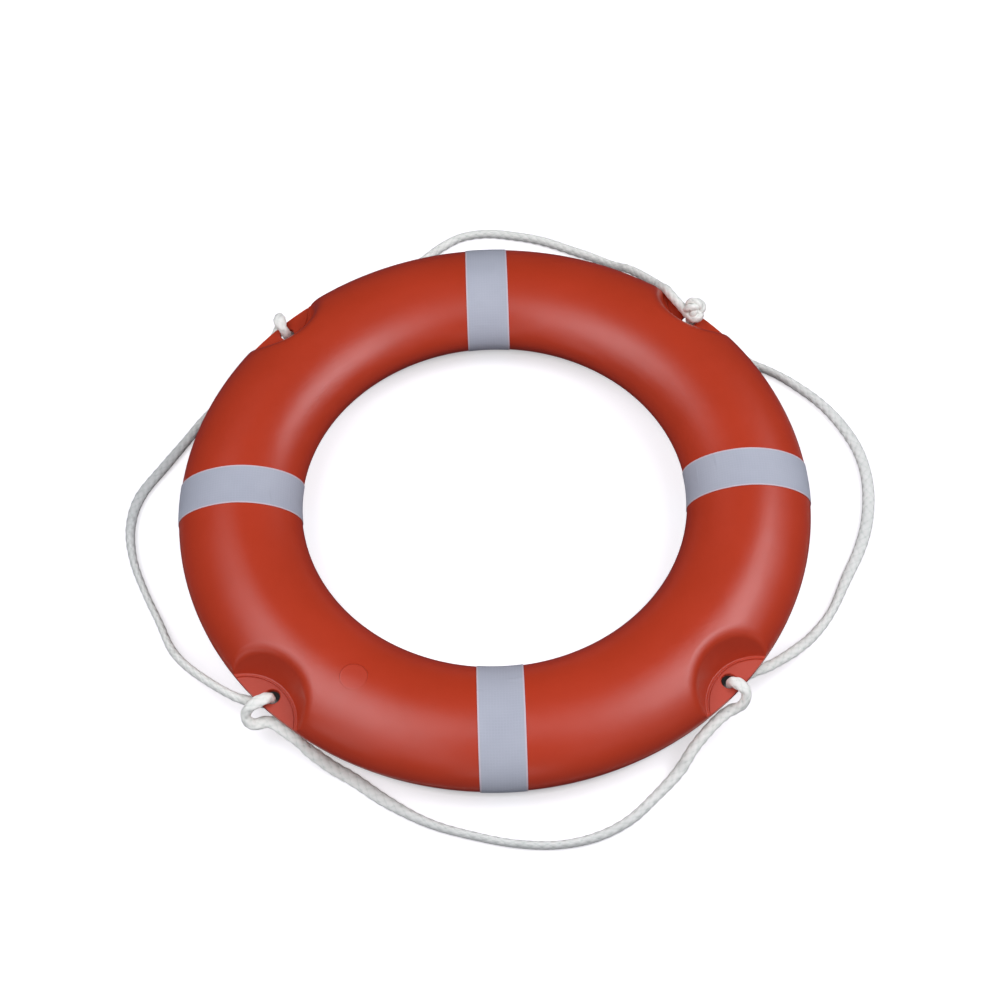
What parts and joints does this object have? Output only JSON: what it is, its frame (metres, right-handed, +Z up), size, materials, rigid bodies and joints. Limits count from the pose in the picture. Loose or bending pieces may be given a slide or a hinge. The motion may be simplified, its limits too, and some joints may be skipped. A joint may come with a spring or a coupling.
{
  "type": "life ring",
  "caption": "Rigid ring-shaped lifebuoy with a foam-filled shell, moulded lugs, reflective bands and a grab line looped round its rim.",
  "frame": {"origin": "centre of the ring's hole in plan, on the surface that the ring lies on", "axes": "+Z up along the ring's axis when it lies flat, -Y towards the front band, +X towards the right band"},
  "size_m": [0.8737, 0.8481, 0.0956],
  "materials": {
    "shell": "satin",
    "plug": "satin",
    "foam": "matte",
    "tape": "satin",
    "rope": "matte"
  },
  "bodies": {
    "root": {"shell": "shell", "foam_core": "foam", "foam_fill_plug": "plug", "reflective_band_front": "tape", "reflective_band_back": "tape", "reflective_band_left": "tape", "reflective_band_right": "tape", "grab_line_loop_front": "rope", "grab_line_loop_right": "rope", "grab_line_loop_back": "rope", "grab_line_loop_left": "rope", "grab_line_hitch_front_left": "rope", "grab_line_hitch_front_right": "rope", "grab_line_hitch_back_left": "rope", "grab_line_knot_back_right": "rope"}
  },
  "joints": []
}
